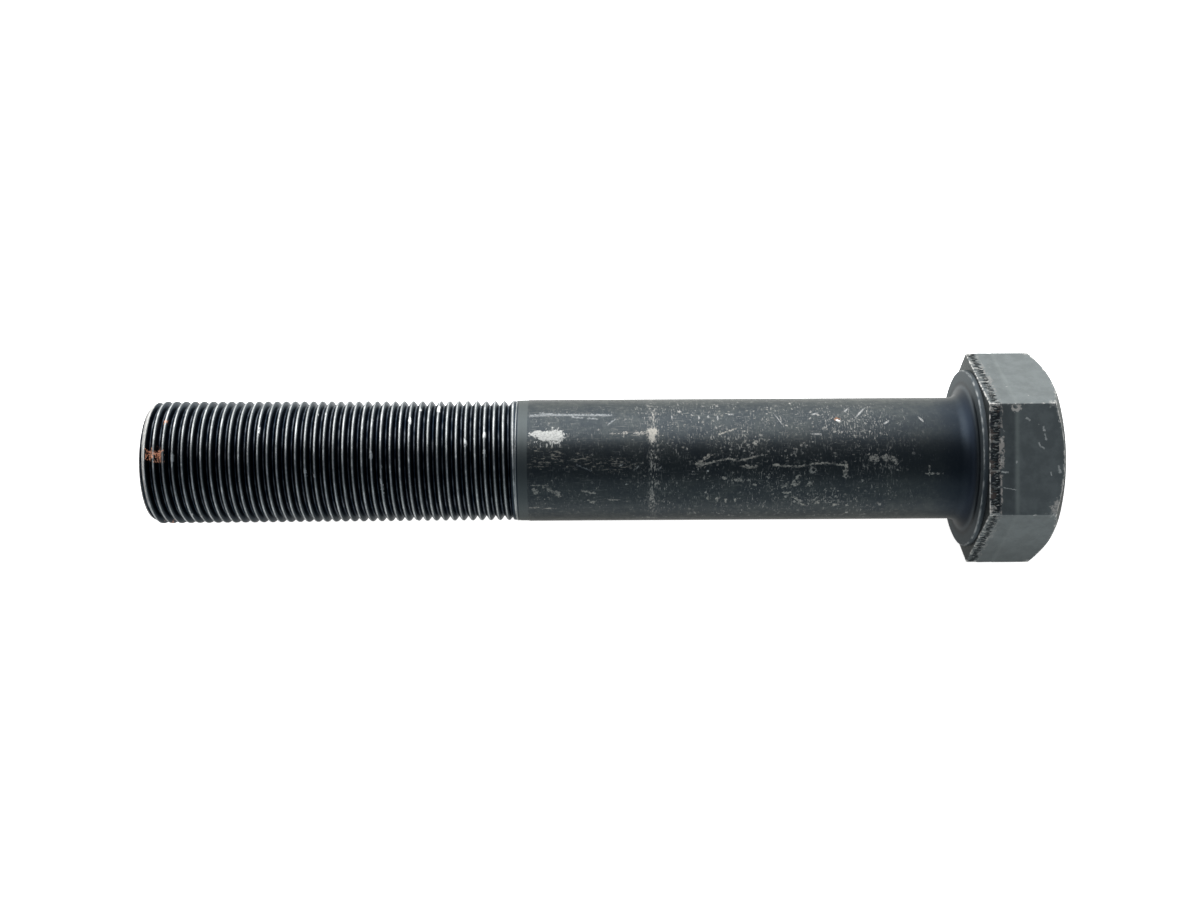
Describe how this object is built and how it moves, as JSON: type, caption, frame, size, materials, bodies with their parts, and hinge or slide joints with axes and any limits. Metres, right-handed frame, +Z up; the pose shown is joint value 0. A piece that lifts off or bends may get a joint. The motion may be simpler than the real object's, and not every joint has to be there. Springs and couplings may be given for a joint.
{
  "type": "hex bolt",
  "caption": "Partially threaded hexagon-head bolt with a washer face, a large under-head fillet and a right-hand fine thread, in black-oxide steel.",
  "frame": {"origin": "on the surface the bolt lies on: midway along the bolt's length, straight below its axis", "axes": "+X along the bolt's axis towards the head; +Z up, square to the wrench flat that faces up; +Y across the bolt through two opposite corners of the hexagon"},
  "size_m": [0.146, 0.0344, 0.03],
  "materials": {
    "black_oxide_steel": "satin black oxide, scuffed bright on the thread crests and edges"
  },
  "bodies": {
    "root": {"hex_bolt": "black_oxide_steel"}
  },
  "joints": []
}
